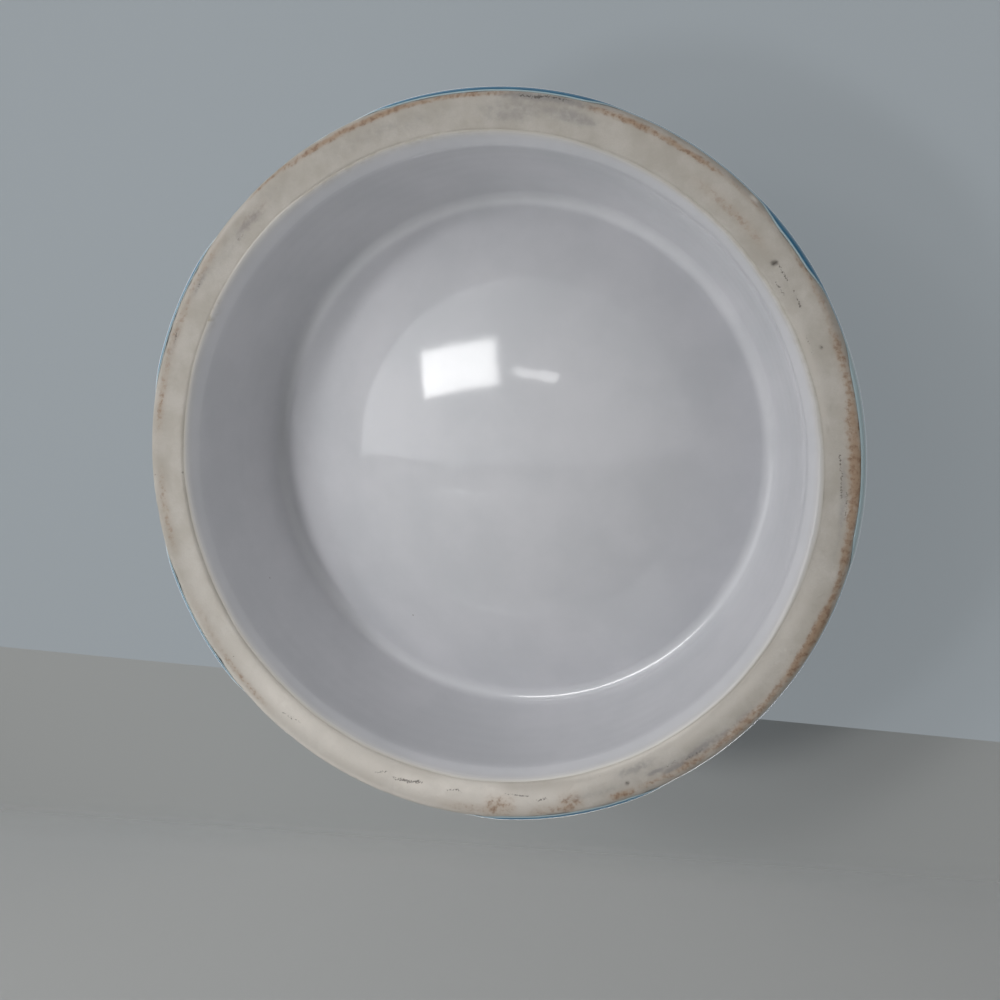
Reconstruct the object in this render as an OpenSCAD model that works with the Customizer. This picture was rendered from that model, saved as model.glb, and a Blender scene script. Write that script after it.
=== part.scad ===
// Cat food bowl: a one-piece pottery bowl on a bare foot ring, with a basin above and a deep recess below.
// The fired clay and its three glaze coats are turned about the z axis from one section, standing on z = 0.

/* [Overall] */
// Widest outside diameter, just above the foot, measured over the glaze
base_d = 160; // [140:1:200]
// Height from the table to the crest of the glazed rim
bowl_h = 60; // [56:1:80]
// Inward lean of the outer wall, in degrees from upright
side_lean = 3; // [0:0.5:8]

/* [Foot] */
// Width of the foot ring of bare clay, from the outer wall to the inner lip
foot_w = 8.5; // [6:0.5:12]
// Rounding of the outer edge of the foot
foot_round = 2; // [1:0.25:3]
// Height of bare clay above the table, where the glaze was wiped away
bare_h = 0.6; // [0.3:0.1:1]
// Width of the bevelled lip inside the foot
lip_w = 2.2; // [1:0.1:4]
// Height of the bevelled lip inside the foot
lip_h = 4; // [2:0.5:8]

/* [Recess] */
// Radius of the gently coved wall of the recess
cove_r = 130; // [100:5:200]
// Depth below the table of the level where the coved wall would be widest
cove_drop = 10; // [5:1:15]
// Radius of the groove between the coved wall and the domed underside
groove_r = 5; // [2:0.5:6]
// Height of the domed underside above the table, at the axis
dome_h = 14.5; // [12:0.5:17]
// Rise of the dome from the axis to the radius of the lip's crest, if carried on that far
dome_rise = 28; // [22:0.5:30]

/* [Basin] */
// Thickness of the clay at the middle of the basin floor
floor_t = 8; // [6:0.5:9]
// Rise of the dished basin floor from the axis to the radius of the lip's crest, if carried on that far
basin_rise = 24; // [18:0.5:27]
// Radius of the turn from the basin floor to the basin wall
basin_turn = 10; // [6:1:12]
// Outward lean of the basin wall, in degrees from upright
basin_lean = 10; // [4:1:16]
// Thickness of the clay at the rim, which is fully rounded
rim_t = 7; // [5:0.5:9]

/* [Glaze] */
// Thickness of each glaze coat
glaze_t = 0.5; // [0.3:0.1:0.8]

/* [Hidden] */
$fn = 180;

// Unit vectors out of the outer wall and out of the basin wall
out_side = [cos(side_lean), sin(side_lean)];
out_basin = [-cos(basin_lean), sin(basin_lean)];
// Unit vector down the basin wall
down_basin = [-sin(basin_lean), -cos(basin_lean)];

// Centre of the rounded foot edge
foot_c = [base_d / 2 - glaze_t - foot_round, foot_round];
// Inner radius of the foot ring, where the lip begins, and the crest of the lip
foot_in = base_d / 2 - glaze_t - foot_w;
lip_foot = [foot_in, 0];
lip_top = [foot_in - lip_w, lip_h];

// Radii of the dome and of the basin floor
dome_r = rise_radius(dome_rise);
basin_r = rise_radius(basin_rise);

// Reach of the half planes that bound the section, past every part of the bowl
reach = base_d + bowl_h + basin_r;

// Centre of the rounded rim: it touches the outer wall, and its glazed crest is at the full height
rim_r = rim_t / 2;
rim_z = bowl_h - glaze_t - rim_r;
// Distance from that centre to the basin wall, which laps the round of the rim and crosses it in an edge
rim_lap = 0.02;
rim_to_wall = rim_r - rim_lap;
side_reach = foot_c * out_side + foot_round;
rim_c = [(side_reach - rim_r - rim_z * sin(side_lean)) / cos(side_lean), rim_z];

// Centres of the dome, of the coved wall, which meets the crest of the lip, and of the groove between them
dome_c = [0, dome_h + dome_r];
cove_c = [lip_top[0] - sqrt(pow(cove_r, 2) - pow(lip_h + cove_drop, 2)), -cove_drop];
groove_c = meeting(cove_c, cove_r - groove_r, dome_c, dome_r + groove_r);

// Centre of the basin floor, and of the turn that touches both the floor and the basin wall
basin_c = [0, dome_h + floor_t + basin_r];
turn_start = rim_c + (rim_to_wall + basin_turn) * out_basin;
turn_c = turn_start + down_basin * run_to_circle(turn_start - basin_c, down_basin, basin_r - basin_turn);

// Lines in the clay that part the coats: an arc just under the basin floor, and a line from rim to foot
parting_r = basin_r + glaze_t;
parting_foot = [(foot_in + foot_c[0]) / 2, 0];

// Unit vector along a vector
function unit(v) = v / norm(v);
// Vector turned a quarter turn to the left
function left_of(v) = [-v[1], v[0]];
// Radius of the arc that starts level at the axis and rises by so much at the radius of the lip's crest
function rise_radius(rise) = (pow(lip_top[0], 2) + pow(rise, 2)) / (2 * rise);
// Right-hand one of the two points at given distances from two centres
function meeting(c1, r1, c2, r2) =
    let (
        gap = norm(c2 - c1),
        along = (pow(r1, 2) - pow(r2, 2) + pow(gap, 2)) / (2 * gap),
        across = sqrt(pow(r1, 2) - pow(along, 2)),
        dir = unit(c2 - c1)
    )
    c1 + along * dir - across * left_of(dir);
// How far to go from a point along a unit vector to reach a circle about the origin, from inside it
function run_to_circle(from, dir, r) =
    let (lead = from * dir)
    -lead + sqrt(pow(lead, 2) + pow(r, 2) - from * from);

// Everything to the left of the line through two points
module half_plane(p, q) {
    dir = unit(q - p);
    far = reach * dir;
    side = reach * left_of(dir);
    polygon([p - far, q + far, q + far + side, p - far + side]);
}

// Disc about a given centre
module disc(c, r) {
    translate(c) circle(r);
}

// Outline of the bowl without its hollows, grown by a coat of thickness t
module outer_shape(t) {
    foot_turn = foot_c + (foot_round + t) * out_side;
    rim_out = rim_c + (rim_r + t) * out_side;
    rim_in = rim_c + (rim_r + t) * out_basin;
    polygon([[0, 0], [foot_c[0], 0], foot_turn, rim_out, rim_in, [0, rim_in[1]]]);
    intersection() {
        disc(foot_c, foot_round + t);
        half_plane([0, 0], [reach, 0]);
    }
    disc(rim_c, rim_r + t);
}

// Hollow of the basin, shrunk by a coat of thickness t
module basin_hollow(t) {
    wall_top = rim_c + (rim_to_wall + t) * out_basin;
    on_floor = turn_c + (basin_turn - t) * unit(turn_c - basin_c);
    on_wall = turn_c - (basin_turn - t) * out_basin;
    intersection() {
        disc(basin_c, basin_r - t);
        half_plane(wall_top + down_basin, wall_top);
        half_plane(on_floor, on_wall);
    }
    disc(turn_c, basin_turn - t);
}

// Hollow of the recess under the bowl, shrunk by a coat of thickness t
module recess_hollow(t) {
    lip_dir = unit(lip_top - lip_foot);
    on_cove = groove_c + (groove_r - t) * unit(groove_c - cove_c);
    on_dome = groove_c - (groove_r - t) * unit(groove_c - dome_c);
    intersection() {
        difference() {
            union() {
                half_plane(lip_foot + t * left_of(lip_dir), lip_top + t * left_of(lip_dir));
                disc(cove_c, cove_r - t);
            }
            disc(dome_c, dome_r + t);
        }
        half_plane(on_cove, on_dome);
    }
    disc(groove_c, groove_r - t);
}

// Section of the bowl with a coat of thickness t on every face but the foot
module section(t) {
    difference() {
        outer_shape(t);
        basin_hollow(t);
        recess_hollow(t);
    }
}

// Section of the glaze alone, above the wiped foot
module coat() {
    intersection() {
        difference() {
            section(glaze_t);
            section(0);
        }
        half_plane([0, bare_h], [reach, bare_h]);
    }
}

// Solid turned about the axis from the part of a section at or outside the axis
module turned() {
    rotate_extrude() {
        intersection() {
            children();
            half_plane([0, reach], [0, -reach]);
        }
    }
}

// Fired clay of the whole bowl, bare at the foot
module clay_body() {
    color("tan") turned() section(0);
}

// Coat of the outer wall, from the wiped foot to the crest of the rim
module outer_glaze() {
    color("steelblue") turned() intersection() {
        coat();
        half_plane([rim_c[0], bowl_h], parting_foot);
    }
}

// Coat of the basin, from the crest of the rim inwards
module basin_glaze() {
    color("white") turned() intersection() {
        coat();
        half_plane(parting_foot, [rim_c[0], bowl_h]);
        disc(basin_c, parting_r);
    }
}

// Coat of the recess, from the groove and dome down to the inner edge of the foot
module underside_glaze() {
    color("whitesmoke") turned() intersection() {
        difference() {
            coat();
            disc(basin_c, parting_r);
        }
        half_plane(parting_foot, [rim_c[0], bowl_h]);
    }
}

clay_body();
outer_glaze();
basin_glaze();
underside_glaze();
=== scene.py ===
"""Looks of a pottery cat bowl: a bare worn foot, a blue outside, a white basin and a white recess below.

The bowl stands upright on z = 0. The picture is taken from below, where the foot ring and the recess show.
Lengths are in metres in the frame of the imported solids, and angles about the axis run from +X towards +Y.
"""

import logging
import math
from dataclasses import dataclass
from enum import Enum, IntEnum

import bpy
import numpy as np
from mathutils import Matrix, Vector


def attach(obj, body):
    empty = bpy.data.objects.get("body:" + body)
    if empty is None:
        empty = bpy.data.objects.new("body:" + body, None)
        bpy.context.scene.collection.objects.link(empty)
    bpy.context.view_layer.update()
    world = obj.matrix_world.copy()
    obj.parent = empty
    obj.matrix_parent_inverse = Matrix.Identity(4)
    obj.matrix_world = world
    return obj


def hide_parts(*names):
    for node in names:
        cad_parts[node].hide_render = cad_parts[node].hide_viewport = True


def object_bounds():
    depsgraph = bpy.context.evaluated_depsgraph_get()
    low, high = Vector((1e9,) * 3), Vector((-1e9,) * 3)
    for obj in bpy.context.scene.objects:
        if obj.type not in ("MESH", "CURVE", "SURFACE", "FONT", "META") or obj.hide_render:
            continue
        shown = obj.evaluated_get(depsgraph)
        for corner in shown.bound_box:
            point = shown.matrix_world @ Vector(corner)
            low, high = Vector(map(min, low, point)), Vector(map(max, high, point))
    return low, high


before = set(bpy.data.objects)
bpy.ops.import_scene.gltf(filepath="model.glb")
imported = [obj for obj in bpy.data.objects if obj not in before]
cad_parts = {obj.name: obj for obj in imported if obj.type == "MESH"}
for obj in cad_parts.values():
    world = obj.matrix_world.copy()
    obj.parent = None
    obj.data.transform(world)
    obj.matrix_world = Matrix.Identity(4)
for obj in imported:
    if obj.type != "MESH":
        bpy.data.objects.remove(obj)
CAD_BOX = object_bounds()

MM = 0.001
ROOT_BODY = "root"
GLAZE_IOR = 1.52

Array = np.ndarray
Pair = tuple[float, float]
Lengths = tuple[float, ...]
Colour = tuple[float, float, float]
Socket = bpy.types.NodeSocket
Value = float | Colour | Socket

NO_GLOW: Colour = (0.0, 0.0, 0.0)

log = logging.getLogger("cat_bowl")


class ClayNode(Enum):
    """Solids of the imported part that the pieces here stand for."""

    CLAY = "clay_body"
    OUTSIDE = "outer_glaze"
    BASIN = "basin_glaze"
    RECESS = "underside_glaze"


class Slot(Enum):
    """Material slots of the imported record."""

    BARE_CLAY = "bare_clay"
    BLUE_GLAZE = "blue_glaze"
    WHITE_GLAZE = "white_glaze"


class Closing(Enum):
    """How the outline of a turned piece closes: on the axis at both ends, or on itself as a loop."""

    ON_AXIS = "on axis"
    LOOP = "loop"


class Run(IntEnum):
    """Runs of the clay's outline in order, from the middle of the underside to the middle of the basin."""

    DOME = 0
    GROOVE = 1
    COVE = 2
    LIP = 3
    FOOT = 4
    EDGE = 5
    WALL = 6
    RIM_OUT = 7
    RIM_IN = 8
    BASIN_WALL = 9
    TURN = 10
    FLOOR = 11


def display(red: int, green: int, blue: int) -> Colour:
    """Linear colour of an 8-bit display colour.

    Args:
        red: Red level, 0 to 255.
        green: Green level, 0 to 255.
        blue: Blue level, 0 to 255.

    Returns:
        The three linear levels, from 0 to 1.
    """
    levels = np.array([red, green, blue]) / 255
    linear = np.where(levels <= 0.04045, levels / 12.92, ((levels + 0.055) / 1.055) ** 2.4)
    return tuple(float(level) for level in linear)


def unit(vector: Array) -> Array:
    """Unit vector along a vector."""
    return vector / np.linalg.norm(vector)


def left_of(vector: Array) -> Array:
    """Flat vector turned a quarter turn to the left."""
    return np.array([-vector[1], vector[0]])


def angle_of(vector: Array) -> float:
    """Angle of a flat vector from the first axis, in radians."""
    return math.atan2(vector[1], vector[0])


def smooth_step(low: float, high: float, value: Array) -> Array:
    """Eased rise from 0 at low to 1 at high: 3 t squared less 2 t cubed, with t held between 0 and 1.

    Args:
        low: Value at which the rise starts.
        high: Value at which the rise ends.
        value: Where to take it.

    Returns:
        Levels from 0 to 1, of the value's shape.
    """
    t = np.clip((value - low) / (high - low), 0, 1)
    return t * t * (3 - 2 * t)


def arc(centre: Array, radius: float, start: float, end: float) -> Array:
    """Points of an arc: the centre plus the radius times (cosine, sine) of an angle from start to end.

    Args:
        centre: Centre in the half section, as radius and height.
        radius: Radius of the arc.
        start: First angle in radians.
        end: Last angle in radians.

    Returns:
        Points as rows of radius and height.
    """
    count = max(8, int(abs(end - start) * radius / Outline.SPACING))
    angle = np.linspace(start, end, count)
    return centre + radius * np.stack([np.cos(angle), np.sin(angle)], axis=-1)


def straight(start: Array, end: Array) -> Array:
    """Points of a straight run: start plus an even share of the way to end.

    Args:
        start: First point.
        end: Last point.

    Returns:
        Points as rows of radius and height.
    """
    count = max(4, int(np.linalg.norm(end - start) / Outline.SPACING))
    return start + np.linspace(0, 1, count)[:, None] * (end - start)


@dataclass(frozen=True)
class Outline:
    """A path in the half section, with clay on its left and air on its right.

    Attributes:
        points: Rows of radius and height.
        knots: Distance along the path at the start of the first run and at the end of each run.
    """

    points: Array
    knots: Array
    SPACING = 0.1 * MM

    @classmethod
    def through(cls, *runs: Array) -> "Outline":
        """Path that follows runs one after another.

        Args:
            runs: Points of each run, where each starts at the end of the one before.

        Returns:
            The joined path.
        """
        lengths = [np.linalg.norm(np.diff(run, axis=0), axis=1).sum() for run in runs]
        joined = np.concatenate([runs[0], *[run[1:] for run in runs[1:]]])
        return cls(joined, np.concatenate([[0], np.cumsum(lengths)]))

    @property
    def along(self) -> Array:
        """Distance along the path at each point."""
        steps = np.linalg.norm(np.diff(self.points, axis=0), axis=1)
        return np.concatenate([[0], np.cumsum(steps)])

    def softened(self, reach: float) -> "Outline":
        """Path with its corners eased: each point becomes the bell-weighted mean of its neighbours.

        Args:
            reach: Standard deviation of the bell, as a distance along the path.

        Returns:
            The eased path, with the same ends and knots.
        """
        even = np.arange(0, self.knots[-1], self.SPACING)
        points = np.stack(self.at(even), axis=-1)
        cut_off = 4 * reach
        half = int(cut_off / self.SPACING)
        bell = np.exp(-0.5 * (np.arange(-half, half + 1) * self.SPACING / reach) ** 2)
        bell /= bell.sum()
        ahead = 2 * points[0] - points[half:0:-1]
        behind = 2 * points[-1] - points[-2:-half - 2:-1]
        padded = np.concatenate([ahead, points, behind])
        eased = [np.convolve(padded[:, axis], bell, mode="valid") for axis in (0, 1)]
        return Outline(np.stack(eased, axis=-1), self.knots)

    def stations(self, first: int, *steps: float) -> Array:
        """Distances along the path, evenly spaced within each run.

        Args:
            first: Number of the run to start from.
            steps: Spacing wanted in that run and in each run after it.

        Returns:
            Distances from the start of the first run to the end of the last one.
        """
        parts = [self.knots[first:first + 1]]
        for number, step in enumerate(steps, first):
            start, end = self.knots[number:number + 2]
            count = max(1, round((end - start) / step))
            parts.append(np.linspace(start, end, count + 1)[1:])
        return np.concatenate(parts)

    def at(self, distance: Array) -> tuple[Array, Array]:
        """Radius and height at distances along the path.

        Args:
            distance: Distances, of any shape.

        Returns:
            Radii and heights of that shape.
        """
        along = self.along
        radius = np.interp(distance, along, self.points[:, 0])
        height = np.interp(distance, along, self.points[:, 1])
        return radius, height

    def normal_at(self, distance: Array) -> tuple[Array, Array]:
        """Direction into the air, the path's own direction turned a quarter turn to the right.

        Args:
            distance: Distances, of any shape.

        Returns:
            Radial and upward parts of the unit vector.
        """
        along = self.along
        ahead = np.gradient(self.points, along, axis=0)
        ahead /= np.linalg.norm(ahead, axis=1, keepdims=True)
        return np.interp(distance, along, ahead[:, 1]), -np.interp(distance, along, ahead[:, 0])


@dataclass(frozen=True)
class Section:
    """Half section of the bowl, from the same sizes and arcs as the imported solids, with a tighter groove.

    Attributes:
        base_d: Widest outside diameter over the glaze.
        bowl_h: Height to the crest of the glazed rim.
        side_lean: Inward lean of the outer wall.
        foot_w: Width of the bare foot ring.
        foot_round: Rounding of the outer edge of the foot.
        lip_w: Width of the bevelled lip inside the foot.
        lip_h: Height of that lip.
        cove_r: Radius of the coved recess wall.
        cove_drop: Depth below the table at which the cove is widest.
        groove_r: Radius of the groove round the domed underside.
        dome_h: Height of the dome above the table at the axis.
        dome_rise: Rise of the dome from the axis to the radius of the lip's crest, if carried on that far.
        floor_t: Clay under the middle of the basin.
        basin_rise: Rise of the basin floor over the same span.
        basin_turn: Radius of the turn from floor to basin wall.
        basin_lean: Outward lean of the basin wall.
        rim_t: Thickness of the clay at the rounded rim.
        glaze_t: Thickness of each glaze coat.
        ease: Easing of the corners that wiping and wear have softened.
    """

    base_d: float
    bowl_h: float
    side_lean: float = math.radians(3)
    foot_w: float = 8.5 * MM
    foot_round: float = 2 * MM
    lip_w: float = 2.2 * MM
    lip_h: float = 4 * MM
    cove_r: float = 130 * MM
    cove_drop: float = 10 * MM
    groove_r: float = 3 * MM
    dome_h: float = 14.5 * MM
    dome_rise: float = 28 * MM
    floor_t: float = 8 * MM
    basin_rise: float = 24 * MM
    basin_turn: float = 10 * MM
    basin_lean: float = math.radians(10)
    rim_t: float = 7 * MM
    glaze_t: float = 0.5 * MM
    ease: float = 0.5 * MM

    @property
    def out_side(self) -> Array:
        """Unit vector out of the outer wall."""
        return np.array([math.cos(self.side_lean), math.sin(self.side_lean)])

    @property
    def out_basin(self) -> Array:
        """Unit vector out of the basin wall, towards the axis."""
        return np.array([-math.cos(self.basin_lean), math.sin(self.basin_lean)])

    @property
    def foot_c(self) -> Array:
        """Centre of the rounded foot edge."""
        return np.array([self.base_d / 2 - self.glaze_t - self.foot_round, self.foot_round])

    @property
    def foot_in(self) -> float:
        """Inner radius of the foot ring, where the lip begins."""
        return self.base_d / 2 - self.glaze_t - self.foot_w

    @property
    def rim_r(self) -> float:
        """Radius of the clay rim."""
        return self.rim_t / 2

    @property
    def rim_c(self) -> Array:
        """Centre of the rounded rim, which touches the outer wall."""
        height = self.bowl_h - self.glaze_t - self.rim_r
        reach = self.foot_c @ self.out_side + self.foot_round - self.rim_r
        return np.array([(reach - height * math.sin(self.side_lean)) / math.cos(self.side_lean), height])

    def rise_radius(self, rise: float) -> float:
        """Radius of an arc level at the axis: (span squared plus rise squared) over twice the rise.

        Args:
            rise: How far it rises at the radius of the lip's crest.

        Returns:
            The radius.
        """
        span = self.foot_in - self.lip_w
        return (span**2 + rise**2) / (2 * rise)

    @property
    def dome_r(self) -> float:
        """Radius of the domed underside."""
        return self.rise_radius(self.dome_rise)

    @property
    def basin_r(self) -> float:
        """Radius of the dished basin floor."""
        return self.rise_radius(self.basin_rise)

    @property
    def dome_c(self) -> Array:
        """Centre of the domed underside."""
        return np.array([0, self.dome_h + self.dome_r])

    @property
    def cove_c(self) -> Array:
        """Centre of the coved wall, which passes through the crest of the lip."""
        back = math.sqrt(self.cove_r**2 - (self.lip_h + self.cove_drop) ** 2)
        return np.array([self.foot_in - self.lip_w - back, -self.cove_drop])

    @property
    def groove_c(self) -> Array:
        """Centre of the groove, which touches cove and dome: the outer meeting of two circles."""
        near, far = self.cove_r - self.groove_r, self.dome_r + self.groove_r
        across = self.dome_c - self.cove_c
        gap = np.linalg.norm(across)
        along = (near**2 - far**2 + gap**2) / (2 * gap)
        return self.cove_c + along * unit(across) - math.sqrt(near**2 - along**2) * left_of(unit(across))

    @property
    def basin_c(self) -> Array:
        """Centre of the dished basin floor."""
        return np.array([0, self.dome_h + self.floor_t + self.basin_r])

    @property
    def turn_c(self) -> Array:
        """Centre of the turn, which touches the basin wall and the basin floor."""
        start = self.rim_c + (self.rim_r + self.basin_turn) * self.out_basin
        down = np.array([-math.sin(self.basin_lean), -math.cos(self.basin_lean)])
        offset = start - self.basin_c
        lead = offset @ down
        run = -lead + math.sqrt(lead**2 + (self.basin_r - self.basin_turn) ** 2 - offset @ offset)
        return start + run * down

    def underside(self) -> list[Array]:
        """Runs of the underside from the axis over the dome, groove, coved wall, lip and flat foot."""
        across_dome = angle_of(self.groove_c - self.dome_c)
        across_cove = angle_of(self.groove_c - self.cove_c)
        lip_foot = np.array([self.foot_in, 0])
        crest = lip_foot + np.array([-self.lip_w, self.lip_h])
        return [
            arc(self.dome_c, self.dome_r, -math.pi / 2, across_dome),
            arc(self.groove_c, self.groove_r, across_dome + math.pi, across_cove),
            arc(self.cove_c, self.cove_r, across_cove, angle_of(crest - self.cove_c)),
            straight(crest, lip_foot),
            straight(lip_foot, np.array([self.foot_c[0], 0])),
        ]

    def outside(self) -> list[Array]:
        """Runs of the rounded foot edge, the outer wall and the outer half of the rim."""
        wall_foot = self.foot_c + self.foot_round * self.out_side
        wall_top = self.rim_c + self.rim_r * self.out_side
        return [
            arc(self.foot_c, self.foot_round, -math.pi / 2, self.side_lean),
            straight(wall_foot, wall_top),
            arc(self.rim_c, self.rim_r, self.side_lean, math.pi / 2),
        ]

    def basin(self) -> list[Array]:
        """Runs of the inner half of the rim, the basin wall, the turn and the floor to the axis."""
        across = angle_of(self.turn_c - self.basin_c)
        wall_top = self.rim_c + self.rim_r * self.out_basin
        wall_foot = self.turn_c - self.basin_turn * self.out_basin
        return [
            arc(self.rim_c, self.rim_r, math.pi / 2, math.pi - self.basin_lean),
            straight(wall_top, wall_foot),
            arc(self.turn_c, self.basin_turn, -self.basin_lean, across),
            arc(self.basin_c, self.basin_r, across, -math.pi / 2),
        ]

    def clay(self) -> Outline:
        """Whole outline of the clay, from the axis below to the axis above, with its corners eased."""
        return Outline.through(*self.underside(), *self.outside(), *self.basin()).softened(self.ease)


@dataclass(frozen=True)
class Ripple:
    """Gentle unevenness of a dipped and fired surface: a sum of plane waves in random, seeded directions.

    Attributes:
        size: Typical height of the unevenness.
        wavelength: Distance between crests.
        seed: Seed of the directions and phases.
        waves: Number of waves in the sum.
    """

    size: float
    wavelength: float
    seed: int
    waves: int = 16

    def height(self, x: Array, y: Array, z: Array) -> Array:
        """Height at points: the sum of cosines of (wave vector dot point, plus a phase), scaled to the size.

        Args:
            x: First coordinates.
            y: Second coordinates.
            z: Third coordinates.

        Returns:
            Heights of the points' shape.
        """
        draw = np.random.default_rng(self.seed)
        vectors = draw.normal(size=(self.waves, 3))
        vectors *= 2 * math.pi / self.wavelength / np.linalg.norm(vectors, axis=1, keepdims=True)
        phases = draw.uniform(0, 2 * math.pi, self.waves)
        total = np.zeros(np.broadcast(x, y, z).shape)
        for (kx, ky, kz), phase in zip(vectors, phases):
            total += np.cos(kx * x + ky * y + kz * z + phase)
        return total * self.size * math.sqrt(2 / self.waves)


@dataclass(frozen=True)
class Turned:
    """A surface turned about the z axis, given over a grid of angles by stations along its outline.

    Attributes:
        radius: Radius at each angle and station.
        height: Height at each angle and station.
        closing: Whether the outline ends on the axis or closes on itself.
    """

    radius: Array
    height: Array
    closing: Closing

    @staticmethod
    def angles(count: int) -> Array:
        """Even angles round the axis, as a column."""
        return np.linspace(0, 2 * math.pi, count, endpoint=False)[:, None]

    def vertices(self) -> Array:
        """Points (radius cos angle, radius sin angle, height), with one point for each end on the axis.

        Returns:
            Rows of x, y and z.
        """
        angle = self.angles(len(self.radius))
        grid = np.stack([self.radius * np.cos(angle), self.radius * np.sin(angle), self.height], axis=-1)
        if self.closing is Closing.LOOP:
            return grid.reshape(-1, 3)
        poles = [[0, 0, self.height[:, 0].mean()], [0, 0, self.height[:, -1].mean()]]
        return np.concatenate([grid[:, 1:-1].reshape(-1, 3), poles])

    def values(self, field: Array) -> Array:
        """One value for each vertex, from a field over the grid.

        Args:
            field: Values at each angle and station.

        Returns:
            Values in the order of the vertices.
        """
        if self.closing is Closing.LOOP:
            return field.ravel()
        return np.concatenate([field[:, 1:-1].ravel(), [field[:, 0].mean(), field[:, -1].mean()]])

    def faces(self) -> tuple[Array, Array]:
        """Corners of the faces, each taken in the order angle, then station, so that they face the air.

        Returns:
            Rows of four corners, and rows of three corners at the poles.
        """
        angles, stations = self.radius.shape
        loop = self.closing is Closing.LOOP
        columns = stations if loop else stations - 2
        index = np.arange(angles * columns).reshape(angles, columns)
        turned = np.roll(index, -1, axis=0)
        if loop:
            after, turned_after = np.roll(index, -1, axis=1), np.roll(turned, -1, axis=1)
            quads = np.stack([index, turned, turned_after, after], axis=-1).reshape(-1, 4)
            return quads, np.zeros((0, 3), int)
        quads = np.stack([index[:, :-1], turned[:, :-1], turned[:, 1:], index[:, 1:]], axis=-1).reshape(-1, 4)
        first = np.full(angles, index.size)
        start = np.stack([first, turned[:, 0], index[:, 0]], axis=-1)
        end = np.stack([index[:, -1], turned[:, -1], first + 1], axis=-1)
        return quads, np.concatenate([start, end])

    def mesh(self, name: str, fields: dict[str, Array]) -> bpy.types.Mesh:
        """Smooth-shaded mesh of the surface, with named values on its points.

        Args:
            name: Name of the mesh.
            fields: Values over the grid, by attribute name.

        Returns:
            The finished mesh.
        """
        points = self.vertices()
        quads, triangles = self.faces()
        corners = np.concatenate([quads.ravel(), triangles.ravel()])
        starts = np.concatenate([4 * np.arange(len(quads)), 4 * len(quads) + 3 * np.arange(len(triangles))])
        mesh = bpy.data.meshes.new(name)
        mesh.vertices.add(len(points))
        mesh.vertices.foreach_set("co", points.astype(np.float32).ravel())
        mesh.loops.add(len(corners))
        mesh.loops.foreach_set("vertex_index", corners.astype(np.int32))
        mesh.polygons.add(len(starts))
        mesh.polygons.foreach_set("loop_start", starts.astype(np.int32))
        mesh.polygons.foreach_set("use_smooth", np.ones(len(starts), bool))
        for label, field in fields.items():
            attribute = mesh.attributes.new(label, "FLOAT", "POINT")
            attribute.data.foreach_set("value", self.values(field).astype(np.float32))
        mesh.update(calc_edges=True)
        mesh.validate()
        return mesh


def turned_from(degrees: float, angle: Array) -> Array:
    """Angles measured from a direction about the axis, wrapped to half a turn either way.

    Args:
        degrees: The direction.
        angle: Angles in radians.

    Returns:
        Angles in radians, from -pi to pi.
    """
    return (angle - math.radians(degrees) + math.pi) % (2 * math.pi) - math.pi


@dataclass(frozen=True)
class Patch:
    """One soft-edged mark on the foot ring.

    Attributes:
        angle: Middle of the mark, in degrees about the axis.
        reach: Half its length along the ring, in degrees.
        radius: Middle of the mark, in millimetres from the axis.
        width: Half its width across the ring, in millimetres.
        strength: Level at its middle.
    """

    angle: float
    reach: float
    radius: float
    width: float
    strength: float

    def level(self, angle: Array, radius: Array) -> Array:
        """Strength times exp(-(u to the fourth) - (v squared)), u along the ring and v across it.

        Args:
            angle: Angles in radians.
            radius: Distances from the axis.

        Returns:
            Levels of the broadcast shape.
        """
        along = turned_from(self.angle, angle) / math.radians(self.reach)
        across = (radius / MM - self.radius) / self.width
        return self.strength * np.exp(-(along**4) - across**2)


@dataclass(frozen=True)
class Stroke:
    """One straight scratch on the foot ring, or a round pit where both its ends are the same.

    Attributes:
        start: Degree about the axis and radius in millimetres of its first end.
        end: The same of its last end.
        width: Half its width in millimetres.
        strength: Level along its middle.
    """

    start: tuple[float, float]
    end: tuple[float, float]
    width: float
    strength: float

    def level(self, angle: Array, radius: Array) -> Array:
        """Strength times exp(-(distance to the stroke over its width) squared), on the unrolled ring.

        Args:
            angle: Angles in radians.
            radius: Distances from the axis.

        Returns:
            Levels of the broadcast shape.
        """
        along = turned_from(self.start[0], angle) * self.start[1]
        across = radius / MM - self.start[1]
        run = math.radians(self.end[0] - self.start[0]) * self.start[1]
        climb = self.end[1] - self.start[1]
        length = max(run**2 + climb**2, 1e-9)
        share = np.clip((along * run + across * climb) / length, 0, 1)
        gap = np.hypot(along - share * run, across - share * climb)
        return self.strength * np.exp(-((gap / self.width) ** 2))


Mark = Patch | Stroke


def spread(marks: tuple[Mark, ...], angle: Array, radius: Array) -> Array:
    """Sum of marks, held at 1.

    Args:
        marks: The marks.
        angle: Angles in radians.
        radius: Distances from the axis.

    Returns:
        Levels from 0 to 1.
    """
    return np.minimum(1, sum(mark.level(angle, radius) for mark in marks))


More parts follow.
